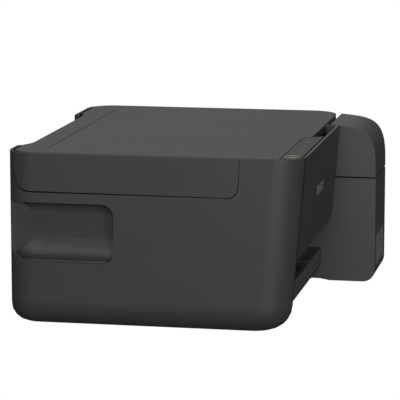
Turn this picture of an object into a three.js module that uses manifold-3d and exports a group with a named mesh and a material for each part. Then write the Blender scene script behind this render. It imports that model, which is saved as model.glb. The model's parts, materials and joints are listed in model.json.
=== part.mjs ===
// A compact ink-tank printer with a flatbed scanner, modelled in millimetres with +Z up.
//
// The drawing frame has X = 0 at the left side, Y = 0 at the top of the front panel and
// Z = 0 on the table. The group at the end moves that frame so that the printer stands
// centred on the origin, with its front towards -Y.

import * as THREE from 'three';
import { mergeVertices } from 'three/addons/utils/BufferGeometryUtils.js';
import Module from 'manifold-3d';

const wasm = await Module();
wasm.setup();

// ---------------------------------------------------------------- driving dimensions
const WIDTH = 375;            // over the sides
const DEPTH = 300;            // front rim to the back, without the ink unit
const HEIGHT = 179;           // table to the top of the lid
const FLOOR_GAP = 3;          // the feet lift the case this far
const WALL = 2.8;             // moulded wall thickness
const GAP = 0.3;              // running gap between neighbouring pieces
const RAKE = 0.0814;          // the front leans back: mm of Y for each mm down
const SIDE_ROUND = 25;        // rounding along the bottom of the sides
const FRONT_ROUND = 26;       // rounding under the front
const REAR_ROUND = 18.5;        // rounding under the back
const FRONT_CORNER = 30;      // vertical corner radius at the front
const REAR_CORNER = 27;       // vertical corner radius at the back
const SQUARE_CORNER = 6;      // front right corner, behind the ink unit

const SEAM_Z = 139;           // seam under the scanner unit
const SEAM_Y = 62;            // top of the upright seam at the front of the scanner unit
const SEAM_GAP = 0.7;         // running gap along that seam
const SEAM_ROUND = 10;
const REAR_SEAM_Y = 275;      // where the seam turns up towards the back
const REAR_SEAM_ROUND = 16.7;
const RIM_REAR_Y = 293.9;     // inner face of the case's rear rim
const HINGE_Y = 285.3;        // lid, scanner unit and feed cover all turn about one line
const HINGE_Z = 177;

const COLUMN_X = 25;          // right edge of the front left corner column
const PANEL_RIGHT = 264;
const PANEL_BOTTOM = 77;
const INNER_FRONT_Y = 15;     // front wall of the case behind the front panel
const LIP_Y = 22;             // front plane of the output tray and the base
const OPENING_RIGHT = 288.4;
const OPENING_BOTTOM = 22.9;
const OPENING_TOP = 76.5;

const TANK_LEFT = 285.3;      // ink unit
const TANK_RIGHT = 374.7;
const TANK_FRONT = -36.8;
const TANK_REAR = 14.6;
const TANK_SEAM_LOW = 117.3;
const TANK_SEAM_HIGH = 118.7;
const TANK_TOP = 176;
const TANK_COVER_REAR = 13.8;
const CHEEK_REAR = 88;        // the unit's left wall runs on into the output bay
const TANK_PITCH = 16.2;
const TANK_FIRST_X = 303.2;

const LID_FRONT_Y = 15.2;
const LID_CORNER = 30;        // lid corner behind the ink unit
const STRIP_REAR_Y = 23.2;    // rear edge of the control strip
const FEED_FRONT_Y = 263.9;   // rear feed unit
const FEED_REAR_Y = 287.9;
const FEED_LEFT = 36.9;
const FEED_RIGHT = 333.3;

const frontY = (z) => RAKE * (HEIGHT - z);

// ---------------------------------------------------------------- shape helpers
// A closed three.js geometry becomes a solid that can be joined and cut.
function solid(geometry) {
  const shell = geometry.index ? geometry.toNonIndexed() : geometry;
  shell.deleteAttribute('normal');
  shell.deleteAttribute('uv');
  const merged = mergeVertices(shell, 1e-4);
  return new wasm.Manifold(new wasm.Mesh({
    numProp: 3,
    vertProperties: new Float32Array(merged.attributes.position.array),
    triVerts: new Uint32Array(merged.index.array),
  }));
}

const join = (first, ...rest) => rest.reduce((sum, next) => sum.add(next), first);
const cut = (body, ...tools) => tools.reduce((left, tool) => left.subtract(tool), body);

function box(x0, x1, y0, y1, z0, z1) {
  const geometry = new THREE.BoxGeometry(x1 - x0, y1 - y0, z1 - z0);
  geometry.translate((x0 + x1) / 2, (y0 + y1) / 2, (z0 + z1) / 2);
  return solid(geometry);
}

// Points on an arc, angles in degrees, both ends included.
function arc(cx, cy, radius, from, to, steps = 6) {
  return Array.from({ length: steps + 1 }, (_, i) => {
    const angle = THREE.MathUtils.degToRad(from + ((to - from) * i) / steps);
    return [cx + radius * Math.cos(angle), cy + radius * Math.sin(angle)];
  });
}

const circle = (cx, cy, radius, steps = 20) => arc(cx, cy, radius, 0, 360, steps).slice(0, -1);

// A rectangle with a radius at each corner, in the order low-low, high-low, high-high, low-high.
function roundRect(x0, x1, y0, y1, radii, steps = 6) {
  const [a, b, c, d] = Array.isArray(radii) ? radii : [radii, radii, radii, radii];
  return [
    ...arc(x0 + a, y0 + a, a, 180, 270, steps),
    ...arc(x1 - b, y0 + b, b, 270, 360, steps),
    ...arc(x1 - c, y1 - c, c, 0, 90, steps),
    ...arc(x0 + d, y1 - d, d, 90, 180, steps),
  ];
}

// An outline pushed along an axis. It is drawn as (x, y) for z, (y, z) for x and (x, z) for y.
function prism(axis, outline, from, to) {
  const drawn = axis === 'y' ? outline.map(([x, z]) => [z, x]) : outline;
  const shape = new THREE.Shape(drawn.map(([a, b]) => new THREE.Vector2(a, b)));
  const geometry = new THREE.ExtrudeGeometry(shape, { depth: to - from, bevelEnabled: false });
  geometry.translate(0, 0, from);
  const [X, Y, Z] = [[1, 0, 0], [0, 1, 0], [0, 0, 1]].map((way) => new THREE.Vector3(...way));
  const turn = new THREE.Matrix4();
  if (axis === 'x') turn.makeBasis(Y, Z, X);
  if (axis === 'y') turn.makeBasis(Z, X, Y);
  geometry.applyMatrix4(turn);
  return solid(geometry);
}

// A round bar along an axis; the centre is given as in prism().
const bar = (axis, a, b, radius, from, to, steps = 20) => prism(axis, circle(a, b, radius, steps), from, to);

// A closed skin through rings of equal length, from the bottom one to the top one.
function loft(rings) {
  const count = rings[0].length;
  const faces = [];
  for (let k = 0; k < rings.length - 1; k += 1) {
    for (let i = 0; i < count; i += 1) {
      const next = (i + 1) % count;
      const [a, b, c, d] = [k * count + i, k * count + next, (k + 1) * count + next, (k + 1) * count + i];
      faces.push(a, b, c, a, c, d);
    }
  }
  const flat = rings[0].map(([x, y]) => new THREE.Vector2(x, y));
  const cap = THREE.ShapeUtils.triangulateShape(flat, []);
  const top = (rings.length - 1) * count;
  cap.forEach(([a, b, c]) => faces.push(a, c, b, top + a, top + b, top + c));
  const geometry = new THREE.BufferGeometry();
  geometry.setAttribute('position', new THREE.Float32BufferAttribute(rings.flat(2), 3));
  geometry.setIndex(faces);
  return solid(geometry);
}

// ---------------------------------------------------------------- finishes
const finish = (color, roughness, metalness = 0) => new THREE.MeshStandardMaterial(
  { color, roughness, metalness });
const finishes = {
  body: finish('#3d3e3f', 0.62),
  top: finish('#454647', 0.58),
  dark: finish('#262728', 0.6),
  button: finish('#4a4b4c', 0.5),
  light: finish('#8d8f4e', 0.4),
  rubber: finish('#1c1c1c', 0.9),
  steel: finish('#b4b7ba', 0.35, 1),
  white: finish('#e9e9e6', 0.8),
  glass: finish('#c8d4d4', 0.08),
  amber: finish('#8f8f88', 0.3),
  board: finish('#2d5a3c', 0.6),
  film: finish('#8c9094', 0.3),
  inks: ['#181818', '#157a9c', '#a32c63', '#c7a41f'].map((colour) => finish(colour, 0.3)),
};

const drawing = new THREE.Group();

function add(name, shape, material) {
  const mesh = shape.getMesh();
  const geometry = new THREE.BufferGeometry();
  geometry.setAttribute('position', new THREE.Float32BufferAttribute(mesh.vertProperties, 3));
  geometry.setIndex(Array.from(mesh.triVerts));
  const node = new THREE.Mesh(geometry, material);
  node.name = name;
  drawing.add(node);
}

// ---------------------------------------------------------------- outer skin of the case
// How far an edge with this rounding has drawn in at height z.
function edgeInset(z, radius) {
  const below = FLOOR_GAP + radius - z;
  return below <= 0 ? 0 : radius - Math.sqrt(Math.max(radius ** 2 - below ** 2, 0));
}

function caseOutline(z, inward = 0) {
  const side = edgeInset(z, SIDE_ROUND) + inward;
  const front = frontY(z) + edgeInset(z, FRONT_ROUND) + inward;
  const back = DEPTH - edgeInset(z, REAR_ROUND) - inward;
  const shrink = inward + edgeInset(z, SIDE_ROUND) * 0.6;
  const [frontRadius, rearRadius] = [FRONT_CORNER - shrink, REAR_CORNER - shrink];
  const squareRadius = Math.max(SQUARE_CORNER - inward, 1);
  return roundRect(side, WIDTH - side, front, back, [frontRadius, squareRadius, rearRadius, rearRadius]);
}

function skin(levels, inward = 0) {
  return loft(levels.map((z) => caseOutline(z, inward).map(([x, y]) => [x, y, z])));
}

const RIM_TOP = 178.4;
const RIM_WALL = 1.8;         // the rim around the lid is thinner than the walls below it
const bottomLevels = [3, 3.9, 6.6, 11, 16.5, 23, 30];

// The seam between case and scanner unit, seen from the side; grow moves it into the scanner unit.
// Its upright part is an arc about the hinge line, so that the unit's front edge swings past the case.
function scannerSide(grow, top) {
  const bottom = SEAM_Z + grow;
  const reach = HINGE_Y - SEAM_Y - grow;
  const cornerZ = bottom + SEAM_ROUND;
  const lean = Math.asin((HINGE_Z - cornerZ) / (reach - SEAM_ROUND));
  const cornerY = HINGE_Y - (reach - SEAM_ROUND) * Math.cos(lean);
  const uprightEnd = 180 + THREE.MathUtils.radToDeg(lean);
  const rearZ = bottom + REAR_SEAM_ROUND;
  return [
    [HINGE_Y - reach, top],
    ...arc(HINGE_Y, HINGE_Z, reach, 180, uprightEnd, 4).slice(0, -1),
    ...arc(cornerY, cornerZ, SEAM_ROUND, uprightEnd, 270),
    ...arc(REAR_SEAM_Y, rearZ, REAR_SEAM_ROUND - grow, 270, 340),
    [RIM_REAR_Y - grow, rearZ + 8],
    [RIM_REAR_Y - grow, top],
  ];
}

// Everything in front of the tray plane, with the curve under it, seen from the side.
function underLip(inward) {
  const [y, z] = [LIP_Y + inward, FLOOR_GAP + inward];
  return [
    [-60, -10],
    [y + FRONT_ROUND, -10],
    ...arc(y + FRONT_ROUND, z + FRONT_ROUND, FRONT_ROUND, 270, 180),
    [y, PANEL_BOTTOM + inward],
    [-60, PANEL_BOTTOM + inward],
  ];
}

// Hand grips in both sides, open to the back. The lower edge rises towards the back.
const GRIP = {
  low: 69, high: 129, front: 188.7, deep: 15, corner: 12, riseY: 274, riseRound: 31,
  lip: 76.5, lipDepth: 4.6, wallLow: 92, wallHigh: 117,
};

// Height and depth below the skin: an undercut lip, a scoop up to the wall, and a rounded ceiling.
function gripLevels() {
  const scoop = [0, 1, 2, 3, 4, 5, 6, 7, 8].map((i) => {
    const depth = GRIP.lipDepth + (GRIP.deep - GRIP.lipDepth) * THREE.MathUtils.smoothstep(i, 0, 8);
    return [GRIP.lip + ((GRIP.wallLow - GRIP.lip) * i) / 8, depth];
  });
  const ceiling = [0, 0.5, 0.75, 0.9, 1].map((share) => [
    GRIP.wallHigh + (GRIP.high - GRIP.wallHigh) * share, 1 + (GRIP.deep - 1) * Math.sqrt(1 - share ** 2)]);
  return [
    [GRIP.low - 1, 6], [GRIP.low, 6], [GRIP.low + 1.6, 7], [GRIP.low + 4, 5.2],
    ...scoop, ...ceiling, [GRIP.high + 1, 1],
  ];
}

function gripTool(fromX, toX) {
  const opening = [
    ...arc(GRIP.front + GRIP.corner, GRIP.low + GRIP.corner, GRIP.corner, 180, 270),
    ...arc(GRIP.riseY, GRIP.low + GRIP.riseRound, GRIP.riseRound, 270, 330),
    [400, GRIP.low + GRIP.riseRound / 2],
    [400, GRIP.high],
    ...arc(GRIP.front + GRIP.corner, GRIP.high - GRIP.corner, GRIP.corner, 90, 180),
  ];
  const core = loft(gripLevels().map(([z, depth]) => caseOutline(z, depth).map(([x, y]) => [x, y, z])));
  return cut(prism('x', opening, fromX, toX), core);
}

// Notch at the back for the sliding paper support, seen from above.
const supportNotch = [
  [50, 310], [51, 300], [55, 293.5], [62, 290], [71, 288.4], [285.5, 288.4], [288, 300], [288, 310],
];
const NOTCH_LOW = 55;
const aroundNotch = [
  [47, 310], [48, 298.5], [52.5, 291.5], [60, 288.2], [289, 288.2], [291, 299], [291, 310],
];

function mainCase() {
  const cavity = cut(
    skin([5.8, 8, ...bottomLevels.slice(3), 200], WALL),
    box(COLUMN_X - WALL, 400, -60, INNER_FRONT_Y + WALL, -10, 210),
    prism('x', underLip(WALL), COLUMN_X - WALL, OPENING_RIGHT + WALL),
    box(-10, GRIP.deep + WALL, GRIP.front - WALL, 310, GRIP.low - WALL, GRIP.high + WALL),
    box(WIDTH - GRIP.deep - WALL, 400, GRIP.front - WALL, 310, GRIP.low - WALL, GRIP.high + WALL),
    prism('z', aroundNotch, NOTCH_LOW - WALL, 210),
  );
  const cornerRound = LID_CORNER + 1;
  const besideLidCorner = cut(
    box(WIDTH - cornerRound, 400, 0, INNER_FRONT_Y + cornerRound, LID_LOW - 0.4, 210),
    bar('z', WIDTH - cornerRound, INNER_FRONT_Y + cornerRound, cornerRound, 100, 220, 40),
  );
  return cut(
    skin([...bottomLevels, RIM_TOP]),
    besideLidCorner,
    box(COLUMN_X, 400, -60, INNER_FRONT_Y, -10, 210),
    prism('x', underLip(0), COLUMN_X, OPENING_RIGHT),
    cavity,
    prism('x', scannerSide(0, 210), -10, 400),
    gripTool(-20, GRIP.deep),
    gripTool(WIDTH - GRIP.deep, WIDTH + 20),
    prism('z', supportNotch, NOTCH_LOW, 210),
    prism('z', caseOutline(178, RIM_WALL), 170, 210).intersect(
      join(box(0, 200, STRIP_REAR_Y + 0.3, 80, 160, 220), box(199, WIDTH, 10, 80, 160, 220))),
    box(COLUMN_X, WIDTH - WALL, 5, SEAM_Y + 1, SEAM_Z - 0.5, 210),
    box(COLUMN_X - WALL - 1, COLUMN_X + 1, 3.3, 30, 150, 210),
    box(COLUMN_X + 2, OPENING_RIGHT, 8, LIP_Y + 6, OPENING_BOTTOM, OPENING_TOP),
    box(320, 336, 10, 20, 99, 107),
    box(50, 80, 290, 310, 28, 50),
    box(310, 326, 290, 310, 30, 44),
  );
}

// ---------------------------------------------------------------- front panel and controls
// Front face of the raked panel, moved back by an amount, as a solid reaching to the rear.
const behindRake = (back) => prism('x', [
  [frontY(40) + back, 40], [frontY(190) + back, 190], [60, 190], [60, 40],
], 0, WIDTH);

const BADGE = { left: 126, right: 168, low: 124, high: 134 };
const badgeOutline = (grow) => roundRect(
  BADGE.left - grow, BADGE.right + grow, BADGE.low - grow, BADGE.high + grow, 1.5 + grow, 3);

function frontPanel() {
  const left = COLUMN_X + GAP;
  const outline = roundRect(left, PANEL_RIGHT, PANEL_BOTTOM, RIM_TOP, [1, 15, 4, 1], 8);
  const hollow = roundRect(left - 5, PANEL_RIGHT - WALL, PANEL_BOTTOM + WALL, 210, [1, 12.2, 1, 1], 8);
  const badgeSeat = cut(prism('y', badgeOutline(GAP), -10, 30), behindRake(0.9));
  return cut(
    prism('y', outline, -10, INNER_FRONT_Y - GAP).intersect(behindRake(0)),
    prism('y', hollow, -10, 40).intersect(behindRake(WALL)),
    badgeSeat,
  );
}

const frontBadge = () => prism('y', badgeOutline(0), -10, 30)
  .intersect(behindRake(-0.4))
  .subtract(behindRake(0.6));

const POWER = { x: 24, y: 14, r: 6.6 };
const SMALL_BUTTONS = { stop_button: 75, mono_copy_button: 100, colour_copy_button: 125 };
const SMALL_BUTTON = { y: 13.5, r: 4.2 };
const LIGHTS = { power_light: [48, 18], ink_light: [46, 10.5] };
const STRIP_TOP = 178.7;
const STRIP_LOW = 166;

function controlPanel() {
  const strip = [[-5, 4.2], [170.3, 4.2], [157, STRIP_REAR_Y], [-5, STRIP_REAR_Y]];
  const inside = caseOutline(STRIP_LOW, WALL + GAP);
  const shelf = join(
    box(151, PANEL_RIGHT - WALL - GAP, 5.2, 15.9, 158, 160.5),
    box(151, 154, 5.2, 15.9, 158, 175));
  const buttonHoles = Object.values(SMALL_BUTTONS).map(
    (x) => bar('z', x, SMALL_BUTTON.y, SMALL_BUTTON.r, 150, 200, 16));
  const lightHoles = Object.values(LIGHTS).map(([x, y]) => bar('z', x, y, 1.4, 150, 200, 10));
  return cut(
    join(prism('z', strip, STRIP_LOW, STRIP_TOP).intersect(prism('z', inside, 150, 200)), shelf),
    box(30, 150, 6.5, 20.6, 150, 174.5),
    bar('z', POWER.x, POWER.y, POWER.r, 150, 200, 24),
    ...buttonHoles,
    ...lightHoles,
  );
}

// ---------------------------------------------------------------- scanner unit
const GLASS = { left: 34, right: 341, front: 34, back: 252, low: 166.9, top: 170 };
const SCAN_ROD = { y: 143, z: 148, r: 3 };
const LID_LOW = 170.4;

function scannerFrame() {
  const band = skin([SEAM_Z, RIM_TOP]).intersect(prism('x', scannerSide(SEAM_GAP, RIM_TOP), -10, 400));
  const nose = skin([SEAM_Z + 2, GLASS.top], WALL + 0.6).intersect(box(0, WIDTH, 18.4, 80, SEAM_Z, 180));
  const insideRim = caseOutline(178, RIM_WALL);
  const deckAbove = prism('z', insideRim, GLASS.top, 210);
  const earPocket = prism('z', insideRim, 165.8, 172).intersect(box(0, WIDTH, 273.5, 300, 160, 180));
  return cut(
    join(band, nose),
    deckAbove,
    earPocket,
    prism('z', [[-10, 0], [173, 0], [173, 18], [160, 26.6], [-10, 26.6]], 120, 210),
    box(FEED_LEFT - 0.7, FEED_RIGHT + 0.7, FEED_FRONT_Y - 0.9, 310, 120, 210),
    box(38, 337, 38, 248, 143.5, 180),
    box(GLASS.left, GLASS.right, GLASS.front, GLASS.back, GLASS.low - GAP, 180),
    box(WALL, 31, 66, 262, 120, 163),
    box(WIDTH - 31, WIDTH - WALL, 66, 262, 120, 163),
  );
}

const scannerGlass = () => box(
  GLASS.left + GAP, GLASS.right - GAP, GLASS.front + GAP, GLASS.back - GAP, GLASS.low, GLASS.top - 0.1);

function scanHead() {
  const sled = box(42, 60, 42, 244, 151, 163);
  const bearing = box(42, 60, SCAN_ROD.y - 8, SCAN_ROD.y + 8, 144, 153);
  const window = box(48, 54, 46, 240, 162, 164);
  return cut(join(sled, bearing), window, bar('x', SCAN_ROD.y, SCAN_ROD.z, SCAN_ROD.r + GAP, 30, 70));
}

// ---------------------------------------------------------------- document lid
const LID_SIDE = 3.2;

function lidOutline() {
  const right = WIDTH - LID_SIDE;
  const back = RIM_REAR_Y - 0.5;
  const [innerLeft, innerRight, seam] = [FEED_LEFT - 0.7, FEED_RIGHT + 0.7, FEED_FRONT_Y - 0.7];
  return [
    [LID_SIDE + 1, STRIP_REAR_Y + 0.6], [156.8, STRIP_REAR_Y + 0.6], [163, LID_FRONT_Y],
    ...arc(right - LID_CORNER, LID_FRONT_Y + LID_CORNER, LID_CORNER, 270, 360, 8),
    ...arc(right - 24, back - 22, 24, 0, 60, 5),
    [right - 16, back], [innerRight, back], [innerRight, seam], [innerLeft, seam], [innerLeft, back],
    [LID_SIDE + 16, back],
    ...arc(LID_SIDE + 24, back - 22, 24, 120, 180, 5),
  ];
}

function documentLid() {
  return cut(
    prism('z', lidOutline(), LID_LOW, HEIGHT),
    box(12, 363, 32, 256, 160, 176),
  );
}

const lidPad = () => box(12 + GAP, 363 - GAP, 32 + GAP, 256 - GAP, LID_LOW + 0.2, 175.6);

// ---------------------------------------------------------------- rear paper feed
const SLOT = { left: 78, right: 302, front: 266.8, back: 284.2 };

function rearFeedHousing() {
  return cut(
    box(FEED_LEFT, FEED_RIGHT, FEED_FRONT_Y, FEED_REAR_Y, 52.4, 174.4),
    box(SLOT.left, SLOT.right, SLOT.front, SLOT.back, 40, 200),
    box(0, WIDTH, 280.5, 300, 172.8, 200),
    box(0, 68, 275, 310, 165, 200),
    box(285, WIDTH, 275, 310, 165, 200),
    box(150, 192, 260, 268, 60, 92),
  );
}

function rearFeedCover() {
  const back = RIM_REAR_Y - 0.5;
  const outline = [
    [FEED_LEFT, FEED_FRONT_Y], [FEED_RIGHT, FEED_FRONT_Y], [FEED_RIGHT, back], [293, back],
    [286.5, FEED_REAR_Y], [72, FEED_REAR_Y], [62, 289.6], [54, back], [FEED_LEFT, back],
  ];
  const plate = prism('z', outline, 175, HEIGHT);
  return cut(plate, box(80, 290, 268, 280, 174, 176.4));
}

function paperSupport() {
  const plate = prism('y', roundRect(74, 283, 60, 166, [3, 3, 8, 8], 4), 289.6, 295.6);
  const rails = [100, 140, 180, 220, 257].map((x) => box(x - 3, x + 3, 294, 297, 70, 150));
  return cut(join(plate, ...rails), box(155, 200, 294, 300, 152, 160));
}

const edgeGuide = () => join(box(86, 89, 268, 283, 110, 170), box(86, 102, 268, 283, 108, 111));

// ---------------------------------------------------------------- ink unit
function tankSide(z0, z1) {
  return z1 <= TANK_SEAM_LOW
    ? [[TANK_REAR, z0], [TANK_REAR, z1], [TANK_FRONT, z1],
      ...arc(TANK_FRONT + 13, z0 + 13, 13, 180, 270)]
    : [[TANK_COVER_REAR, z0], [TANK_COVER_REAR, z1 - 0.6], ...coverCurve(), [TANK_FRONT, z0]];
}

// The cover's front rolls from the top down to the upright face.
function coverCurve() {
  const curve = new THREE.CubicBezierCurve(
    new THREE.Vector2(TANK_COVER_REAR - 0.8, TANK_TOP), new THREE.Vector2(-21.4, TANK_TOP - 2.9),
    new THREE.Vector2(TANK_FRONT, TANK_TOP - 3.6), new THREE.Vector2(TANK_FRONT, 127));
  return curve.getPoints(16).map((point) => [point.x, point.y]);
}

const tankX = (index) => TANK_FIRST_X + index * TANK_PITCH;
const WINDOW = { low: 18, high: 52, half: 6.6 };

function tankHousing() {
  const [front, back] = [TANK_FRONT + WALL, TANK_REAR - WALL];
  const [left, right] = [TANK_LEFT + WALL, TANK_RIGHT - WALL];
  const slots = [0, 1, 2, 3].map((i) => box(
    tankX(i) - WINDOW.half, tankX(i) + WINDOW.half, -50, -30, WINDOW.low, WINDOW.high));
  const hollow = cut(
    prism('x', tankSide(FLOOR_GAP, TANK_SEAM_LOW), TANK_LEFT, TANK_RIGHT),
    prism('x', roundRect(front, back, 6, 140, [10, 2, 1, 1], 4), left, right),
    box(320, 336, 5, 20, 99, 107),
    ...slots,
  );
  const top = OPENING_TOP - GAP;
  const heelSide = [[back, FLOOR_GAP], [24, 4.8], [50, 5.2], [50, top], [back, top]];
  const heel = prism('x', heelSide, TANK_LEFT, left)
    .intersect(prism('x', underLip(-GAP), TANK_LEFT - 1, left + 1));
  const cheek = box(TANK_LEFT, left, back, CHEEK_REAR, OPENING_BOTTOM + GAP, top);
  return join(hollow, heel, cheek);
}

function inkTank(index) {
  const x = tankX(index);
  const half = TANK_PITCH / 2 - 0.4;
  const body = prism('x', roundRect(-33.6, 8, 7, 94, [8, 2, 2, 2], 4), x - half, x + half);
  const windowHalf = WINDOW.half - GAP;
  const window = box(x - windowHalf, x + windowHalf, -36.5, -30, WINDOW.low + GAP, WINDOW.high - GAP);
  return join(body, window, bar('z', x, -20, 4.4, 90, 101.5, 16));
}

function inkCap(index) {
  const x = tankX(index);
  const side = [[-29, 102], [-29, 105], [-27.5, 106], ...arc(2, 104, 2, 90, -90, 4), [-27.5, 102]];
  return prism('x', side, x - 6.8, x + 6.8);
}

function tankCover() {
  const outside = prism('x', tankSide(TANK_SEAM_HIGH, TANK_TOP), TANK_LEFT, TANK_RIGHT);
  const inner = coverCurve().map(([y, z]) => [y + WALL * 0.9, z - WALL]);
  const back = TANK_COVER_REAR - WALL;
  const hollow = [[back, 110], [back, TANK_TOP - WALL], ...inner.slice(3), [TANK_FRONT + WALL, 110]];
  return cut(outside, prism('x', hollow, TANK_LEFT + WALL, TANK_RIGHT - WALL));
}

// ---------------------------------------------------------------- output tray
const TRAY = { left: 27.4, right: 284.1, back: 215, low: 34, top: 39.7 };
const EXTENSION = { left: 110, right: 200, back: 180, low: 36.9, top: 39.4 };

function outputTray() {
  const lip = prism('y', roundRect(TRAY.left, TRAY.right, 23.2, 40, [1, 4, 1, 1], 4), LIP_Y, LIP_Y + 3.4);
  const [slotLeft, slotRight] = [EXTENSION.left - GAP, EXTENSION.right + GAP];
  return cut(
    join(lip, box(TRAY.left, TRAY.right, LIP_Y + 1, TRAY.back, TRAY.low, TRAY.top)),
    box(slotLeft, slotRight, 0, EXTENSION.back + 2, EXTENSION.low - GAP, 60),
    box(slotLeft, slotRight, 0, LIP_Y + 3.8, 28.7, 60),
  );
}

const STOPPER = { left: 130, right: 180, front: 27.4, back: 62, hingeY: 28.4, hingeZ: 38.6 };

function trayExtension() {
  const { left, right, back, low, top } = EXTENSION;
  return cut(
    join(box(left, right, LIP_Y, LIP_Y + 3.4, 29, top), box(left, right, LIP_Y, back, low, top)),
    box(STOPPER.left - GAP, STOPPER.right + GAP, STOPPER.front - 0.4, STOPPER.back + 0.5, 37.5, 60),
  );
}

const trayStopper = () => prism('x', [
  ...arc(STOPPER.hingeY, STOPPER.hingeZ, 0.8, 90, 270, 4), [STOPPER.back, 37.8], [STOPPER.back, 39.4],
], STOPPER.left, STOPPER.right);

// ---------------------------------------------------------------- print mechanism
const RAIL = { y: 175, z: 112, r: 4 };
const BELT = { y: 197, low: 106, high: 112, pulley: 5, leftX: 58, rightX: 312 };
const FEED = { y: 182, z: 71, r: 6, shaft: 3 };
const EXIT = { y: 100, z: 68, r: 6, shaft: 3 };
const PICK = { y: 256.5, z: 76, r: 11.5, shaft: 3 };
const FRAME_LEFT = 38;
const FRAME_RIGHT = 332;

// A spur gear of module 1; a tooth stands at the given angle.
function gear(teeth, cy, cz, from, to, firstTooth) {
  const pitch = 360 / teeth;
  const radius = teeth / 2;
  const outline = [];
  for (let i = 0; i < teeth; i += 1) {
    const middle = firstTooth + i * pitch;
    const tooth = [[-0.3, -1.25], [-0.19, 0], [-0.1, 0.85], [0.1, 0.85], [0.19, 0], [0.3, -1.25]];
    tooth.forEach(([turn, height]) => {
      const angle = THREE.MathUtils.degToRad(middle + turn * pitch);
      outline.push([cy + (radius + height) * Math.cos(angle), cz + (radius + height) * Math.sin(angle)]);
    });
  }
  return prism('x', outline, from, to);
}

function chassis() {
  const outline = [[90, 56], [208, 56], [208, 125], [150, 125], [90, 84]];
  const left = prism('x', outline, FRAME_LEFT, FRAME_LEFT + 2);
  const right = prism('x', outline, FRAME_RIGHT - 2, FRAME_RIGHT);
  const back = box(FRAME_LEFT, FRAME_RIGHT, 206, 208, 56, 125);
  return cut(
    join(left, right, back),
    bar('x', RAIL.y, RAIL.z, RAIL.r + GAP, 20, 350),
    bar('x', FEED.y, FEED.z, FEED.shaft + GAP, 20, 350),
    bar('x', EXIT.y, EXIT.z, EXIT.shaft + GAP, 20, 350),
  );
}

function carriage() {
  const body = prism('x', roundRect(128, 189.5, 84, 126, [4, 2, 2, 10], 3), 266, 324);
  const clamp = box(285, 305, 188, 193.4, 101, 117);
  return cut(
    join(body, clamp),
    bar('x', RAIL.y, RAIL.z, RAIL.r + GAP, 250, 340),
    box(250, 340, 190, 192.2, BELT.low - 0.4, BELT.high + 0.4),
    box(250, 340, 181.3, 183.2, 117.5, 140),
    box(274, 316, 134, 168, 96, 140),
  );
}

const printHead = () => box(274, 316, 134, 160, 76.5, 83.7);

function timingBelt() {
  const loop = (radius) => [
    ...arc(BELT.rightX, BELT.y, radius, -90, 90, 8), ...arc(BELT.leftX, BELT.y, radius, 90, 270, 8),
  ];
  return cut(
    prism('z', loop(BELT.pulley + GAP + 1.2), BELT.low, BELT.high),
    prism('z', loop(BELT.pulley + GAP), BELT.low - 1, BELT.high + 1),
  );
}

// A toothed pulley with a flange above and below the belt.
function pulley(x) {
  return join(
    bar('z', x, BELT.y, BELT.pulley, BELT.low - 0.8, BELT.high + 0.8, 16),
    bar('z', x, BELT.y, 6.2, BELT.low - 1.8, BELT.low - 0.6, 16),
    bar('z', x, BELT.y, 6.2, BELT.high + 0.6, BELT.high + 1.6, 16),
  );
}

const MOTOR_HALF = 7;

const carriageMotor = () => join(
  bar('z', BELT.leftX, BELT.y, MOTOR_HALF, 72, 102, 20),
  box(BELT.leftX - MOTOR_HALF, BELT.leftX + MOTOR_HALF, BELT.y - MOTOR_HALF, BELT.y + MOTOR_HALF, 74, 98));

const feedRoller = () => join(
  bar('x', FEED.y, FEED.z, FEED.shaft, 27, 336, 16),
  bar('x', FEED.y, FEED.z, FEED.r, 50, 320, 20),
  gear(36, FEED.y, FEED.z, 27, 34, 0),
);

function exitRoller() {
  const rings = [60, 100, 140, 180, 220, 250].map((x) => bar('x', EXIT.y, EXIT.z, EXIT.r, x, x + 8, 16));
  return join(bar('x', EXIT.y, EXIT.z, EXIT.shaft, 36, 336, 16), ...rings);
}

const pickupRoller = () => join(
  bar('x', PICK.y, PICK.z, PICK.shaft, 80, 300, 16), bar('x', PICK.y, PICK.z, PICK.r, 155, 187, 24));

function platen() {
  const ribs = Array.from({ length: 10 }, (_, i) => box(56 + i * 20, 58 + i * 20, 126, 164, 69, 71.5));
  return join(box(44, 262, 124, 166, 66, 70), ...ribs);
}

const cappingStation = () => cut(
  join(box(266, 326, 124, 170, 58, 68), box(272, 318, 132, 162, 66, 74), box(268, 270, 134, 160, 66, 76)),
  box(276, 314, 136, 158, 70, 80),
);

const MOTOR_DISTANCE = 24.15;
const PINION_Y = FEED.y - MOTOR_DISTANCE;

const feedMotor = () => join(
  bar('x', PINION_Y, FEED.z, 12.5, 7, 24, 24), bar('x', PINION_Y, FEED.z, 4, 22, 26.4, 12));

// ---------------------------------------------------------------- electrics and tubes
function mainBoard() {
  const chips = [[170, 80, 18], [210, 90, 14], [180, 120, 10], [235, 125, 12]].map(
    ([x, y, size]) => box(x, x + size, y, y + size, 11, 14));
  return join(box(150, 270, 60, 150, 10, 11.6), ...chips, box(150, 166, 60, 72, 11, 20));
}

const powerSupply = () => prism('x', roundRect(62, 170, 8, 29, 3, 3), 40, 112);

function powerInlet() {
  const body = join(box(50.3, 79.7, 276, 299.2, 28.3, 49.7), box(46, 84, 290, 296.6, 26, 51.7));
  const pins = [60, 70].map((x) => bar('y', x, 39, 1.2, 283, 296, 10));
  return join(cut(body, prism('y', roundRect(54, 76, 31.5, 46.5, 5, 4), 284, 310)), ...pins);
}

const usbPort = () => join(
  cut(box(310.3, 325.7, 280, 299.2, 30.3, 43.7), box(313, 323, 284, 310, 33, 41)),
  box(316, 320, 283, 296, 36, 38));

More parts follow.
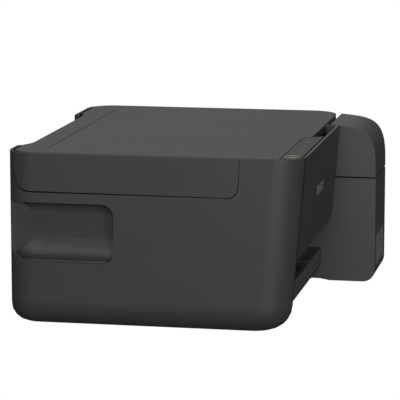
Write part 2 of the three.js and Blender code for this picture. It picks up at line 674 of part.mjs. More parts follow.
// Four ink tubes side by side in one flat ribbon, from the ink unit to the middle of the carriage rail.
function inkTubes() {
  const outline = [
    [322, 9], [334, 9], ...arc(314, 70, 20, 0, 90, 6), [200, 90], [200, 78], ...arc(314, 70, 8, 90, 0, 6),
  ];
  return prism('z', outline, 101.5, 104.5);
}

// ---------------------------------------------------------------- assembly
add('main_case', mainCase(), finishes.body);
add('front_panel', frontPanel(), finishes.body);
add('front_badge', frontBadge(), finishes.button);
add('control_panel', controlPanel(), finishes.top);
add('power_button', bar('z', POWER.x, POWER.y, POWER.r - GAP, 172, STRIP_TOP, 24), finishes.button);
Object.entries(SMALL_BUTTONS).forEach(([name, x]) => {
  add(name, bar('z', x, SMALL_BUTTON.y, SMALL_BUTTON.r - GAP, 172, STRIP_TOP, 16), finishes.button);
});
Object.entries(LIGHTS).forEach(([name, [x, y]]) => {
  add(name, bar('z', x, y, 1.1, 172, STRIP_TOP - 0.1, 10), finishes.light);
});

add('scanner_frame', scannerFrame(), finishes.body);
add('scanner_glass', scannerGlass(), finishes.glass);
add('scan_head', scanHead(), finishes.dark);
add('scan_rod', bar('x', SCAN_ROD.y, SCAN_ROD.z, SCAN_ROD.r, 38.3, 336.7, 16), finishes.steel);
add('scan_motor', bar('z', 355, 200, 9, 141, 160, 20), finishes.steel);
add('document_lid', documentLid(), finishes.top);
add('lid_pad', lidPad(), finishes.white);

add('rear_feed_housing', rearFeedHousing(), finishes.body);
add('rear_feed_cover', rearFeedCover(), finishes.top);
add('paper_support', paperSupport(), finishes.body);
add('edge_guide', edgeGuide(), finishes.dark);

add('tank_housing', tankHousing(), finishes.body);
add('tank_cover', tankCover(), finishes.body);
[0, 1, 2, 3].forEach((index) => {
  add(`ink_tank_${index + 1}`, inkTank(index), finishes.inks[index]);
  add(`ink_cap_${index + 1}`, inkCap(index), finishes.dark);
});

add('output_tray', outputTray(), finishes.body);
add('tray_extension', trayExtension(), finishes.body);
add('tray_stopper', trayStopper(), finishes.dark);

add('chassis', chassis(), finishes.steel);
add('guide_rail', bar('x', RAIL.y, RAIL.z, RAIL.r, 36, 334, 20), finishes.steel);
add('encoder_strip', box(44, 326, 182, 182.5, 118, 124), finishes.film);
add('carriage', carriage(), finishes.dark);
add('print_head', printHead(), finishes.dark);
add('timing_belt', timingBelt(), finishes.rubber);
add('carriage_motor', carriageMotor(), finishes.steel);
add('motor_pulley', pulley(BELT.leftX), finishes.steel);
add('idler_pulley', pulley(BELT.rightX), finishes.steel);
add('feed_roller', feedRoller(), finishes.steel);
add('exit_roller', exitRoller(), finishes.rubber);
add('pickup_roller', pickupRoller(), finishes.rubber);
add('feed_motor', feedMotor(), finishes.steel);
add('motor_pinion', gear(12, PINION_Y, FEED.z, 27, 34, 15), finishes.white);
add('platen', platen(), finishes.dark);
add('capping_station', cappingStation(), finishes.dark);
add('main_board', mainBoard(), finishes.board);
add('power_supply', powerSupply(), finishes.dark);
add('power_inlet', powerInlet(), finishes.dark);
add('usb_port', usbPort(), finishes.steel);
add('ink_tubes', inkTubes(), finishes.amber);

const footPlaces = {
  front_left: [62, 70], front_right: [312, 70], rear_left: [48, 262], rear_right: [327, 262],
};
Object.entries(footPlaces).forEach(([place, [x, y]]) => {
  add(`foot_${place}`, bar('z', x, y, 8, 0, FLOOR_GAP - GAP, 20), finishes.rubber);
});

const printer = new THREE.Group();
drawing.position.set(-WIDTH / 2, -(TANK_FRONT + DEPTH) / 2, 0);
printer.add(drawing);

export default printer;
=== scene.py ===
# %% [markdown]
# # A compact ink-tank printer
#
# The printer is a dark moulded box with a scanner on top, a raked front panel and an ink unit
# at its front right. The frame holds every part at its real size, so this lesson is about
# surfaces: small rounded edges, moulded grain, and the few trims that a CAD model leaves out.
# Everything is in metres, +Z is up and the front faces -Y.

# %% load the frame
import json
import math

import bmesh
import bpy
from mathutils import Matrix, Vector


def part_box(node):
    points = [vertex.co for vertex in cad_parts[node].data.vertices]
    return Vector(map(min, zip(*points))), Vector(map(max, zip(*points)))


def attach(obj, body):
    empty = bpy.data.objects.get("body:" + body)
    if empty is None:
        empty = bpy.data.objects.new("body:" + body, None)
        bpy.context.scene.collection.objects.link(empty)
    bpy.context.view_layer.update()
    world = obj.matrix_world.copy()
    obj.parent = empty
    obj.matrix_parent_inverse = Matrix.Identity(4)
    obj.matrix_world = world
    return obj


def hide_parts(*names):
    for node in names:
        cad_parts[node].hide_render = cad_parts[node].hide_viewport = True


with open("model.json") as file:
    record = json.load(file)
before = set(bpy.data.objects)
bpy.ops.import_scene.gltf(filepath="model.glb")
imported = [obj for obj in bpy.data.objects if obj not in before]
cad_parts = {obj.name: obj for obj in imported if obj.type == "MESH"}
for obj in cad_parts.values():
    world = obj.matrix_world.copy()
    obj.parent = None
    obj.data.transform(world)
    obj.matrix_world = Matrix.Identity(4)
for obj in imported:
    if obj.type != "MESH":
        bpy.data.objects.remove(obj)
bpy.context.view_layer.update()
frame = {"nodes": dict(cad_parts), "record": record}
nodes = frame["nodes"]
MM = 0.001

# %% [markdown]
# ## The drawing's own corner
#
# The printer was drawn from its left side, its front rim and the table. `spot` turns those
# millimetres into the frame's metres, so that a trim can be placed as a maker would measure it.
# The left side and the back come from the case itself.

# %% a ruler
case_low, case_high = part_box("main_case")
BODY_DEPTH = 300
RULER_X = case_low.x
RULER_Y = case_high.y - BODY_DEPTH * MM


def spot(x, y, z):
    return Vector((RULER_X + x * MM, RULER_Y + y * MM, z * MM))


print("the front rim stands at y =", round(RULER_Y, 4))

# %% [markdown]
# ## Camera
#
# The machine is seen from its left, a little from the front and from above, with a long lens
# that keeps its long edges almost parallel. The camera is placed by azimuth, elevation and
# distance around a point near the middle of the body, as one walks around a table.

# %% camera
VIEW_AZIMUTH = math.radians(-78.844)
VIEW_ELEVATION = math.radians(9.655)
VIEW_DISTANCE = 2.5
VIEW_TARGET = Vector((-0.0096, 0.0048, 0.1062))
LENS_MM = 213.0
SENSOR_MM = 36.0

outward = Vector((
    math.sin(VIEW_AZIMUTH) * math.cos(VIEW_ELEVATION),
    -math.cos(VIEW_AZIMUTH) * math.cos(VIEW_ELEVATION),
    math.sin(VIEW_ELEVATION),
))
camera_data = bpy.data.cameras.new("product_camera")
camera_data.lens = LENS_MM
camera_data.sensor_width = SENSOR_MM
camera_data.clip_end = 50
camera = bpy.data.objects.new("product_camera", camera_data)
camera.location = VIEW_TARGET + outward * VIEW_DISTANCE
camera.rotation_euler = (-outward).to_track_quat("-Z", "Y").to_euler()
bpy.context.scene.collection.objects.link(camera)
bpy.context.scene.camera = camera
print("camera at", [round(v, 3) for v in camera.location])

# %% [markdown]
# ## Studio
#
# A dark matte object is shaped by large soft lights. One softbox overhead makes the lid the
# lightest face, and one beside the camera gives the left side its even grey. A small one draws
# the highlight down the corner column, and a weak one far right lifts the lid's far edge. The
# front is left darker, so that the box reads as a solid.

# %% softboxes
def softbox(name, place, size, watts):
    data = bpy.data.lights.new(name, "AREA")
    data.shape = "SQUARE"
    data.size = size
    data.energy = watts
    light = bpy.data.objects.new(name, data)
    light.location = place
    light.rotation_euler = (VIEW_TARGET - Vector(place)).to_track_quat("-Z", "Y").to_euler()
    bpy.context.scene.collection.objects.link(light)
    return light


TOP_WATTS = 48
SIDE_WATTS = 28
CORNER_WATTS = 15
FAR_WATTS = 1.9
softbox("top_softbox", (-0.3, 0.3, 2.6), 2.4, TOP_WATTS)
softbox("side_softbox", (-2.6, -0.5, 0.7), 1.2, SIDE_WATTS)
softbox("corner_softbox", (-2.1, -1.6, 0.5), 0.4, CORNER_WATTS)
softbox("far_softbox", (2.5, 0.6, 0.95), 1.4, FAR_WATTS)
print("four softboxes")


# %% [markdown]
# ### Pale surroundings
#
# The floor and the surroundings look pale, but send little light back, so the rounded bottom
# stays dark. A light path node tells what the camera sees from what lights the object.

# %% pale surroundings
def pale_shader(tree, output, seen, lit, surface):
    path = tree.nodes.new("ShaderNodeLightPath")
    bright = tree.nodes.new(surface)
    bright.inputs["Color"].default_value = (*[seen] * 3, 1)
    dim = tree.nodes.new(surface)
    dim.inputs["Color"].default_value = (*[lit] * 3, 1)
    mix = tree.nodes.new("ShaderNodeMixShader")
    tree.links.new(path.outputs["Is Camera Ray"], mix.inputs[0])
    tree.links.new(dim.outputs[0], mix.inputs[1])
    tree.links.new(bright.outputs[0], mix.inputs[2])
    tree.links.new(mix.outputs[0], output.inputs["Surface"])


world = bpy.data.worlds.new("studio")
world.use_nodes = True
world.node_tree.nodes.clear()
world_output = world.node_tree.nodes.new("ShaderNodeOutputWorld")
WORLD_LIGHT = 0.12
pale_shader(world.node_tree, world_output, 1.0, WORLD_LIGHT, "ShaderNodeBackground")
bpy.context.scene.world = world

floor_mesh = bpy.data.meshes.new("floor")
floor_shape = bmesh.new()
bmesh.ops.create_grid(floor_shape, x_segments=1, y_segments=1, size=6)
floor_shape.to_mesh(floor_mesh)
floor_shape.free()
floor = bpy.data.objects.new("floor", floor_mesh)
floor.location.z = -0.0002
bpy.context.scene.collection.objects.link(floor)
floor_paint = bpy.data.materials.new("pale_floor")
floor_paint.use_nodes = True
floor_paint.node_tree.nodes.clear()
floor_output = floor_paint.node_tree.nodes.new("ShaderNodeOutputMaterial")
FLOOR_LIGHT = 0.05
pale_shader(floor_paint.node_tree, floor_output, 1.0, FLOOR_LIGHT, "ShaderNodeEmission")
floor_mesh.materials.append(floor_paint)
bpy.context.scene.view_settings.view_transform = "Standard"
print("floor and surroundings are pale")

# %% [markdown]
# ## Moulded plastic
#
# The casing is charcoal ABS with a fine spark-eroded texture. Up close it is a field of tiny
# pits, and from a step away it only widens the highlight. Two noises do that: a fine one drives
# the bump, and a broad faint one shifts colour and roughness, as handling and moulding do.
# Corners that hands and sleeves touch turn slightly lighter, which a Bevel node can find: where
# the rounded normal leaves the true one, there is an edge.
#
# The lid, the ink unit and the tray have lighter greys than the case, and the control strip a
# darker one. This is painted light and painted shade, set for this studio, and on the machine they
# may well be the same plastic as the case.

# %% plastic
def link(tree, source, target):
    tree.links.new(source, target)


def new_material(name):
    material = bpy.data.materials.new(name)
    material.use_nodes = True
    tree = material.node_tree
    shader = tree.nodes["Principled BSDF"]
    coordinates = tree.nodes.new("ShaderNodeTexCoord")
    return material, tree, shader, coordinates.outputs["Object"]


def noise(tree, place, scale, detail=3.0):
    node = tree.nodes.new("ShaderNodeTexNoise")
    node.inputs["Scale"].default_value = scale
    node.inputs["Detail"].default_value = detail
    link(tree, place, node.inputs["Vector"])
    return node.outputs["Fac"]


def ramp(tree, value, low, high):
    """Maps 0..1 of a pattern to a range of numbers."""
    node = tree.nodes.new("ShaderNodeMapRange")
    node.inputs["To Min"].default_value = low
    node.inputs["To Max"].default_value = high
    link(tree, value, node.inputs["Value"])
    return node.outputs["Result"]


def mix_colours(tree, factor, first, second):
    node = tree.nodes.new("ShaderNodeMix")
    node.data_type = "RGBA"
    node.inputs["A"].default_value = (*first, 1)
    node.inputs["B"].default_value = (*second, 1)
    link(tree, factor, node.inputs["Factor"])
    return node.outputs["Result"]


def edge_mask(tree, radius, strength):
    """Near 1 on a convex or concave edge, 0 on a flat face."""
    rounded = tree.nodes.new("ShaderNodeBevel")
    rounded.samples = 4
    rounded.inputs["Radius"].default_value = radius
    geometry = tree.nodes.new("ShaderNodeNewGeometry")
    dot = tree.nodes.new("ShaderNodeVectorMath")
    dot.operation = "DOT_PRODUCT"
    link(tree, rounded.outputs["Normal"], dot.inputs[0])
    link(tree, geometry.outputs["Normal"], dot.inputs[1])
    mask = tree.nodes.new("ShaderNodeMapRange")
    mask.inputs["From Min"].default_value = 1.0
    mask.inputs["From Max"].default_value = 0.8
    mask.inputs["To Min"].default_value = 0.0
    mask.inputs["To Max"].default_value = strength
    link(tree, dot.outputs["Value"], mask.inputs["Value"])
    return mask.outputs["Result"]


def shade(colour, factor):
    return tuple(channel * factor for channel in colour)


def moulded_plastic(name, colour, roughness=0.46, grain=2600, depth=0.00002, wear=0.5):
    material, tree, shader, place = new_material(name)
    cloud = noise(tree, place, 9, 4)
    base = mix_colours(tree, cloud, shade(colour, 0.94), shade(colour, 1.06))
    worn = tree.nodes.new("ShaderNodeMix")
    worn.data_type = "RGBA"
    link(tree, edge_mask(tree, 0.0006, wear), worn.inputs["Factor"])
    link(tree, base, worn.inputs["A"])
    worn.inputs["B"].default_value = (*shade(colour, 1.5), 1)
    link(tree, worn.outputs["Result"], shader.inputs["Base Color"])
    link(tree, ramp(tree, cloud, roughness - 0.04, roughness + 0.04), shader.inputs["Roughness"])
    bump = tree.nodes.new("ShaderNodeBump")
    bump.inputs["Strength"].default_value = 0.35
    bump.inputs["Distance"].default_value = depth
    link(tree, noise(tree, place, grain, 2), bump.inputs["Height"])
    link(tree, bump.outputs["Normal"], shader.inputs["Normal"])
    shader.inputs["Specular IOR Level"].default_value = 0.35
    return material


CHARCOAL = (0.0500, 0.0500, 0.0508)
# The lid's charcoal is a little lighter than the case's. This is painted light for its brightly lit top face.
LID_CHARCOAL_PAINTED_LIGHT = (0.0540, 0.0540, 0.0548)
casing = moulded_plastic("casing_charcoal", CHARCOAL)
lid_painted_light = moulded_plastic("lid_charcoal_painted_light", LID_CHARCOAL_PAINTED_LIGHT, roughness=0.5)
inner_black = moulded_plastic("inner_black", (0.018, 0.018, 0.019), roughness=0.5, wear=0.3)
key_plastic = moulded_plastic("key_plastic", (0.058, 0.058, 0.059), roughness=0.42, grain=1800)
# The ink unit and the tray are lighter than the case, as painted light. The control strip is darker, as
# painted shade.
unit_painted_light = moulded_plastic("unit_painted_light", (0.064, 0.064, 0.065))
tray_painted_light = moulded_plastic("tray_painted_light", (0.085, 0.085, 0.086))
strip_painted_shade = moulded_plastic("strip_painted_shade", (0.028, 0.028, 0.029))
# The pale rib grey is a painted highlight for the window stripes' sheen at a low angle.
rib_painted_highlight = moulded_plastic("rib_painted_highlight", (0.13, 0.13, 0.13), roughness=0.3)
badge_plastic = moulded_plastic("badge_plastic", (0.2, 0.2, 0.2), roughness=0.35, wear=0.2)
print("nine moulded plastics")

# %% [markdown]
# ## Metals, rubber, glass and small parts
#
# Ground shafts and plated sheet show fine lines along their length, so their noise is stretched
# along X. Rubber is almost black with a broad sheen. The glass is clear with a green tint, and
# each ink tank is a dark tinted solid, because tank and ink are one piece here.

# %% other finishes
def brushed_steel(name, colour, roughness=0.3):
    material, tree, shader, place = new_material(name)
    stretch = tree.nodes.new("ShaderNodeMapping")
    stretch.inputs["Scale"].default_value = (12, 900, 900)
    link(tree, place, stretch.inputs["Vector"])
    lines = noise(tree, stretch.outputs["Vector"], 1.0, 3)
    link(tree, mix_colours(tree, lines, shade(colour, 0.85), shade(colour, 1.1)), shader.inputs["Base Color"])
    link(tree, ramp(tree, lines, roughness - 0.08, roughness + 0.12), shader.inputs["Roughness"])
    bump = tree.nodes.new("ShaderNodeBump")
    bump.inputs["Strength"].default_value = 0.2
    bump.inputs["Distance"].default_value = 0.00001
    link(tree, lines, bump.inputs["Height"])
    link(tree, bump.outputs["Normal"], shader.inputs["Normal"])
    shader.inputs["Metallic"].default_value = 1.0
    return material


def rubber(name, colour=(0.012, 0.012, 0.012)):
    material, tree, shader, place = new_material(name)
    dust = noise(tree, place, 160, 5)
    link(tree, mix_colours(tree, dust, colour, shade(colour, 2.0)), shader.inputs["Base Color"])
    link(tree, ramp(tree, dust, 0.72, 0.9), shader.inputs["Roughness"])
    bump = tree.nodes.new("ShaderNodeBump")
    bump.inputs["Strength"].default_value = 0.4
    bump.inputs["Distance"].default_value = 0.00004
    link(tree, dust, bump.inputs["Height"])
    link(tree, bump.outputs["Normal"], shader.inputs["Normal"])
    return material


def tinted_plastic(name, colour, roughness=0.22, clearness=0.25):
    """A translucent wall with something coloured behind it."""
    material, tree, shader, place = new_material(name)
    swirl = noise(tree, place, 45, 2)
    link(tree, mix_colours(tree, swirl, shade(colour, 0.8), shade(colour, 1.15)), shader.inputs["Base Color"])
    link(tree, ramp(tree, swirl, roughness - 0.05, roughness + 0.08), shader.inputs["Roughness"])
    shader.inputs["Transmission Weight"].default_value = clearness
    shader.inputs["Coat Weight"].default_value = 0.4
    return material


steel = brushed_steel("plated_steel", (0.46, 0.47, 0.49))
black_rubber = rubber("black_rubber")
foam_white = moulded_plastic(
    "pad_white", (0.78, 0.78, 0.76), roughness=0.8, grain=900, depth=0.0001, wear=0.0)
nylon_white = moulded_plastic("nylon_white", (0.7, 0.69, 0.64), roughness=0.4, wear=0.2)
board_green = moulded_plastic("board_green", (0.02, 0.11, 0.045), roughness=0.3, grain=600, wear=0.4)
tube_clear = tinted_plastic("tube_clear", (0.24, 0.24, 0.23), clearness=0.4)
indicator_lens = tinted_plastic("indicator_lens", (0.115, 0.118, 0.045), roughness=0.35, clearness=0.0)
glass_clear = tinted_plastic("glass_clear", (0.8, 0.88, 0.85), roughness=0.08, clearness=0.9)
ring_lens = tinted_plastic("ring_lens", (0.26, 0.25, 0.07), roughness=0.4, clearness=0.0)
INKS = {1: (0.030, 0.030, 0.032), 2: (0.028, 0.048, 0.062), 3: (0.066, 0.030, 0.042), 4: (0.08, 0.07, 0.034)}
INK_CLEARNESS = 0.05
ink_finishes = {
    index: tinted_plastic(f"ink_{index}", colour, clearness=INK_CLEARNESS) for index, colour in INKS.items()}
DOTS = {1: (0.02, 0.02, 0.022), 2: (0.01, 0.22, 0.42), 3: (0.42, 0.02, 0.14), 4: (0.6, 0.44, 0.02)}
ink_dots = {index: moulded_plastic(f"ink_dot_{index}", colour, wear=0.2) for index, colour in DOTS.items()}
print("metals, rubber, glass and inks are ready")

# %% [markdown]
# ## From CAD solid to moulded part
#
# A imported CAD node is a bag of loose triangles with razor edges. Real mouldings have a radius
# on every edge, and it is this radius that catches the light along a rim. So all but five nodes
# get a copy: its corners are merged, and flat triangles are joined back into whole faces.
# Every edge sharper than 28 degrees then gets a bevel weight, which a `weigh` function may
# lower, and a Bevel modifier rounds by weight. Weighted normals keep the large faces flat.
# The copy rides on the same body and stands for the node.

# %% moulded copies
SHARP = math.radians(28)
FLAT = math.radians(0.6)
MERGE = 0.000004
owners = {node: body for body, members in frame["record"]["behaviour"]["bodies"].items() for node in members}


def merged_copy(node, weigh):
    shape = bmesh.new()
    shape.from_mesh(nodes[node].data)
    bmesh.ops.remove_doubles(shape, verts=shape.verts, dist=MERGE)
    bmesh.ops.dissolve_limit(
        shape, angle_limit=FLAT, verts=shape.verts, edges=shape.edges, use_dissolve_boundaries=False)
    weights = shape.edges.layers.float.new("bevel_weight_edge")
    for edge in shape.edges:
        if len(edge.link_faces) == 2 and edge.calc_face_angle(0) > SHARP:
            edge[weights] = weigh(*[corner.co for corner in edge.verts]) if weigh else 1.0
    return shape


def place_piece(name, shape, body, material):
    mesh = bpy.data.meshes.new(name)
    for face in shape.faces:
        face.smooth = True
    shape.to_mesh(mesh)
    shape.free()
    mesh.materials.append(material)
    piece = bpy.data.objects.new(name, mesh)
    bpy.context.scene.collection.objects.link(piece)
    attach(piece, body)
    return piece


def round_edges(piece, width, segments=2, method="WEIGHT"):
    bevel = piece.modifiers.new("edge_radius", "BEVEL")
    bevel.width = width * MM
    bevel.segments = segments
    bevel.limit_method = method
    bevel.angle_limit = SHARP
    bevel.use_clamp_overlap = True
    normals = piece.modifiers.new("flat_faces", "WEIGHTED_NORMAL")
    normals.keep_sharp = True
    return piece


def mould(node, material, radius, segments=2, weigh=None):
    shape = merged_copy(node, weigh)
    piece = place_piece(f"{node}_moulded", shape, owners[node], material)
    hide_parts(node)
    return round_edges(piece, radius, segments)


print("each of the", len(owners), "nodes has a body and a slot")

# %% [markdown]
# ## Casing
#
# The large mouldings have an edge radius of about half a millimetre, and the ink unit nearly
# two. The joint between the corner column and the raked panel keeps its sharp edges, so that no
# light line shows along it. The joint between ink cover and ink housing has half the unit's
# radius. The window and hinge details of the ink unit are too thin for it, so they get a fine one.

# %% casing pieces
panel_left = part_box("front_panel")[0].x
cover_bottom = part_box("tank_cover")[0].z
SEAM_REACH = 0.0008
SEAM_BAND = 0.002
HALF = 0.5
FINE = 0.15
unit_left, unit_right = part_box("tank_housing")[0].x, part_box("tank_housing")[1].x


def except_panel_joint(*ends):
    return 0.0 if all(abs(end.x - panel_left) < SEAM_REACH for end in ends) else 1.0


def outer_outline(*ends):
    on_side = all(min(abs(end.x - unit_left), abs(end.x - unit_right)) < SEAM_REACH for end in ends)
    at_joint = all(abs(end.z - cover_bottom) < SEAM_BAND for end in ends)
    return (HALF if at_joint else 1.0) if on_side else FINE


mould("main_case", casing, 0.6, 3, except_panel_joint)
mould("front_panel", casing, 0.7, 3, except_panel_joint)
# The ink unit's lighter grey is painted light.
mould("tank_housing", unit_painted_light, 1.8, 3, outer_outline)
mould("tank_cover", unit_painted_light, 1.8, 3, outer_outline)
CASING_RADIUS = {
    "scanner_frame": 0.5, "rear_feed_housing": 0.4, "paper_support": 0.6,
}
TRAY_RADIUS = {"output_tray": 0.9, "tray_extension": 0.4}
LID_RADIUS = {"document_lid": 0.3, "rear_feed_cover": 0.3}
for node, radius in CASING_RADIUS.items():
    mould(node, casing, radius)
# The lid pieces get the lighter charcoal, which is painted light.
for node, radius in LID_RADIUS.items():
    mould(node, lid_painted_light, radius)
# The tray's lighter grey is painted light, and the control strip's darker grey below is painted shade.
for node, radius in TRAY_RADIUS.items():
    mould(node, tray_painted_light, radius)
mould("control_panel", strip_painted_shade, 0.35)
print("twelve casing pieces are moulded")

# %% [markdown]
# ## Controls, inner parts and ink
#
# The smaller pieces follow the same way with smaller radii. The thin film and the flat tubes
# keep their CAD shape, because a radius would eat them, and only get their finish.

# %% small pieces
SMALL_PARTS = {
    key_plastic: ["power_button", "stop_button", "mono_copy_button", "colour_copy_button"],
    badge_plastic: ["front_badge"],
    inner_black: [
        "scan_head", "edge_guide", "tray_stopper", "carriage", "print_head", "platen", "capping_station",
        "power_inlet", "power_supply", *[f"ink_cap_{index}" for index in INKS]],
    black_rubber: [
        "exit_roller", "pickup_roller", "timing_belt",
        *[f"foot_{place}" for place in ("front_left", "front_right", "rear_left", "rear_right")]],
    steel: [
        "scan_rod", "scan_motor", "chassis", "guide_rail", "carriage_motor", "motor_pulley", "idler_pulley",
        "feed_roller", "feed_motor", "usb_port"],
    nylon_white: ["motor_pinion"],
    foam_white: ["lid_pad"],
    board_green: ["main_board"],
}
SMALL_RADIUS = 0.2
TANK_RADIUS = 0.4
for material, members in SMALL_PARTS.items():
    for node in members:
        mould(node, material, SMALL_RADIUS)
for index, material in ink_finishes.items():
    mould(f"ink_tank_{index}", material, TANK_RADIUS)
for node, material in {
        "power_light": indicator_lens, "ink_light": indicator_lens, "scanner_glass": glass_clear,
        "encoder_strip": tube_clear, "ink_tubes": tube_clear}.items():
    nodes[node].data.materials.clear()
    nodes[node].data.materials.append(material)
print("small pieces and inks are placed")

# %% [markdown]
# ## Trims as bmesh shapes
#
# The trims below are boxes, discs and rings of real size. `block` makes a box between two
# corners, `disc` a short round bar along an axis, and both are shapes that can be collected in
# one bmesh, so that a row of ribs is one moulded piece. A bevel modifier rounds them by angle.

# %% block and disc
TRIM_RADIUS = 0.15


def block(shape, low, high):
    middle = (low + high) / 2
    size = high - low
    place = Matrix.Translation(middle) @ Matrix.Diagonal((*size, 1))
    return bmesh.ops.create_cube(shape, size=1, matrix=place)["verts"]


def disc(shape, centre, axis, radius, depth, radius_end=None, segments=32):
    turn = Vector(axis).to_track_quat("Z", "Y").to_matrix().to_4x4()
    return bmesh.ops.create_cone(
        shape, cap_ends=True, segments=segments, radius1=radius, radius2=radius_end or radius,
        depth=depth, matrix=Matrix.Translation(centre) @ turn)["verts"]


def trim(name, shape, body, material, radius=TRIM_RADIUS):
    piece = place_piece(name, shape, body, material)
    return round_edges(piece, radius, 2, "ANGLE") if radius else piece


print("trims are rounded by", TRIM_RADIUS, "mm")

# %% [markdown]
# ## Power ring
#
# A thin light guide surrounds the power button, and shows as a dull yellow-green ring while the
# machine is off. It is a small circle spun once around the button, so it is truly round, and it
# lies half sunk in the control strip.

# %% power ring
button_low, button_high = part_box("power_button")
button_centre = (button_low + button_high) / 2
button_radius = (button_high.x - button_low.x) / 2
RING_GAP = 1.1 * MM
RING_THICK = 0.45 * MM
ring = bmesh.new()
bmesh.ops.create_circle(ring, segments=10, radius=RING_THICK)
bmesh.ops.rotate(ring, verts=ring.verts, cent=(0, 0, 0), matrix=Matrix.Rotation(math.pi / 2, 3, "X"))
bmesh.ops.translate(ring, verts=ring.verts, vec=(button_radius + RING_GAP, 0, 0))
bmesh.ops.spin(
    ring, geom=ring.edges[:], cent=(0, 0, 0), axis=(0, 0, 1), angle=math.tau, steps=72, use_merge=True)
bmesh.ops.remove_doubles(ring, verts=ring.verts, dist=MERGE)
bmesh.ops.recalc_face_normals(ring, faces=ring.faces)
ring_place = Vector((button_centre.x, button_centre.y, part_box("control_panel")[1].z))
bmesh.ops.translate(ring, verts=ring.verts, vec=ring_place)
trim("power_ring", ring, "base", ring_lens, 0)
print("ring radius", round((button_radius + RING_GAP) / MM, 2), "mm")

# %% [markdown]
# ## Tray ribs
#
# Paper slides on low ribs, not on the whole tray, so that it doesn't cling. The ribs run from
# just behind the lip to the back of the tray, left and right of the extension's slot.

# %% tray ribs
tray_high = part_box("output_tray")[1]
RIB_HIGH = 0.5 * MM
RIB_HALF = 0.6 * MM
RIB_START = spot(0, 34, 0).y
RIB_BACK_GAP = 8 * MM
RIB_PLACES = (44, 62, 80, 98, 214, 230, 246, 262)
ribs = bmesh.new()
for x in RIB_PLACES:
    middle = spot(x, 0, 0).x
    low = Vector((middle - RIB_HALF, RIB_START, tray_high.z - RIB_HIGH))
    high = Vector((middle + RIB_HALF, tray_high.y - RIB_BACK_GAP, tray_high.z + RIB_HIGH))
    block(ribs, low, high)
# The ribs share the tray's lighter grey, which is painted light.
trim("tray_ribs", ribs, "tray", tray_painted_light)
print(len(RIB_PLACES), "tray ribs")

# %% [markdown]
# ## Screws on the back
#
# Pan head screws hold the case together at its back. Each recess is an inset of the head
# pushed inwards, with a cross of two thin bars in it, so it needs no boolean cut.

# %% screws
BACK_Y = case_high.y
HEAD_RADIUS = 2.8 * MM
HEAD_HIGH = 1.0 * MM
RECESS_RIM = 1.0 * MM
RECESS_DEPTH = 0.6 * MM
CROSS_LONG, CROSS_DEEP, CROSS_THIN = 1.3 * MM, 0.35 * MM, 0.25 * MM
SCREW_PLACES = ((34, 34), (34, 62), (345, 34), (345, 62), (200, 40))
screws = bmesh.new()
for x, z in SCREW_PLACES:
    centre = Vector((spot(x, 0, 0).x, BACK_Y + HEAD_HIGH / 2, z * MM))
    head = disc(screws, centre, (0, 1, 0), HEAD_RADIUS, HEAD_HIGH, HEAD_RADIUS * 0.8)
    faces = {face for corner in head for face in corner.link_faces}
    top = max(faces, key=lambda face: face.calc_center_median().y)
    bmesh.ops.inset_region(screws, faces=[top], thickness=RECESS_RIM, depth=0)
    bmesh.ops.translate(screws, verts=top.verts, vec=(0, -RECESS_DEPTH, 0))
    for wide, tall in ((CROSS_THIN, CROSS_LONG), (CROSS_LONG, CROSS_THIN)):
        half = Vector((wide, CROSS_DEEP, tall))
        block(screws, centre - half, centre + half)
trim("case_screws", screws, "base", steel, 0.1)
print(len(SCREW_PLACES), "screws")

# %% [markdown]
# ## Vent fins
#
# A row of thin upright fins stands for a cooling grille low on the back. The wall behind them
# is whole: no slots are cut in it.

# %% vent fins
FIN_COUNT = 16
FIN_PITCH = 5
FIN_SIZE = Vector((2.2, 1.3, 18)) * MM
FIN_SUNK = 0.5 * MM
fins = bmesh.new()
for index in range(FIN_COUNT):
    place = spot(100 + FIN_PITCH * index, 0, 30)
    low = Vector((place.x, BACK_Y - FIN_SUNK, place.z))
    block(fins, low, low + FIN_SIZE)
trim("vent_fins", fins, "base", inner_black, 0.3)
print(FIN_COUNT, "vent fins")

# %% [markdown]
# ## Ink caps and level marks
#
# Each ink cap carries three grip ribs and a disc in its ink's colour, so that the right bottle
# goes into the right tank. The windows below have two fine marks, for full and for refill.

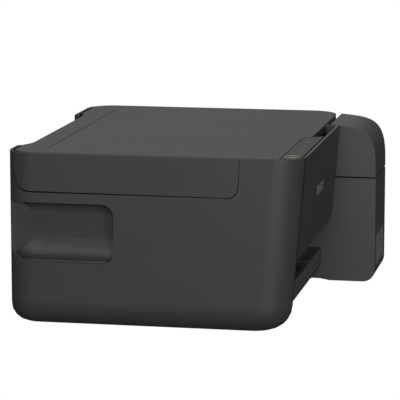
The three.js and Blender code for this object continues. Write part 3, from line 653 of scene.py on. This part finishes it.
# %% caps and marks
for index, material in ink_finishes.items():
    cap_low, cap_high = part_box(f"ink_cap_{index}")
    middle_x = (cap_low.x + cap_high.x) / 2
    cap_ribs = bmesh.new()
    for step in range(3):
        low = Vector((cap_low.x + 1.5 * MM, cap_low.y + (2.4 + 1.8 * step) * MM, cap_high.z - 0.5 * MM))
        block(cap_ribs, low, Vector((cap_high.x - 1.5 * MM, low.y + 0.9 * MM, cap_high.z + 0.4 * MM)))
    trim(f"ink_cap_{index}_ribs", cap_ribs, f"cap_{index}", inner_black)
    dot = bmesh.new()
    disc(dot, Vector((middle_x, cap_low.y + 17 * MM, cap_high.z)), (0, 0, 1), 4 * MM, 0.8 * MM)
    trim(f"ink_cap_{index}_dot", dot, f"cap_{index}", ink_dots[index])
marks = bmesh.new()
for index in INKS:
    tank_low, tank_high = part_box(f"ink_tank_{index}")
    middle_x = (tank_low.x + tank_high.x) / 2
    for z in (23, 47):
        half = Vector((4 * MM, 0.15 * MM, 0.3 * MM))
        centre = Vector((middle_x, tank_low.y - 0.05 * MM, z * MM))
        block(marks, centre - half, centre + half)
trim("level_marks", marks, "base", badge_plastic, 0)
print("four caps and eight level marks")

# %% [markdown]
# ## Window ribs
#
# Each window shows fine light and dark upright stripes when it is seen at a low angle. Ribs on
# the tank's front wall are one way to get them, and the ones here are a guess. Their pale grey is a
# painted highlight for the light they catch at that angle.

# %% window ribs
RIB_SHARES = (0.08, 0.36, 0.64, 0.92)
WALL_HALF = 0.9 * MM
walls = bmesh.new()
for index in INKS:
    tank_low, tank_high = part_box(f"ink_tank_{index}")
    for share in RIB_SHARES:
        x = tank_low.x + share * (tank_high.x - tank_low.x)
        low = Vector((x - WALL_HALF, tank_low.y - 0.4 * MM, 20 * MM))
        block(walls, low, Vector((x + WALL_HALF, tank_low.y + 0.6 * MM, 54 * MM)))
# The ribs are real shapes, but their pale grey is a painted highlight.
trim("window_ribs", walls, "base", rib_painted_highlight)
print(len(INKS) * len(RIB_SHARES), "window ribs")

# %% [markdown]
# ## Scan head window
#
# The scan head looks up through a long lens between two light guides. Three narrow bars in its
# slot stand for them: a glass lens in the middle and a pale guide at each side.

# %% scan window
head_low, head_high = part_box("scan_head")
head_middle = (head_low.x + head_high.x) / 2
BAR_TOP = head_high.z - 0.3 * MM


def scan_bar(name, offset, half, material):
    shape = bmesh.new()
    low = Vector((head_middle + (offset - half) * MM, head_low.y + 6 * MM, BAR_TOP - 0.6 * MM))
    block(shape, low, Vector((low.x + 2 * half * MM, head_high.y - 6 * MM, BAR_TOP)))
    return trim(name, shape, "scan_sled", material, 0.1)


scan_bar("scan_lens", 0, 0.8, glass_clear)
scan_bar("light_guide_left", -1.9, 0.7, foam_white)
scan_bar("light_guide_right", 1.9, 0.7, foam_white)
print("scan bars are", round((head_high.y - head_low.y) / MM - 12), "mm long")
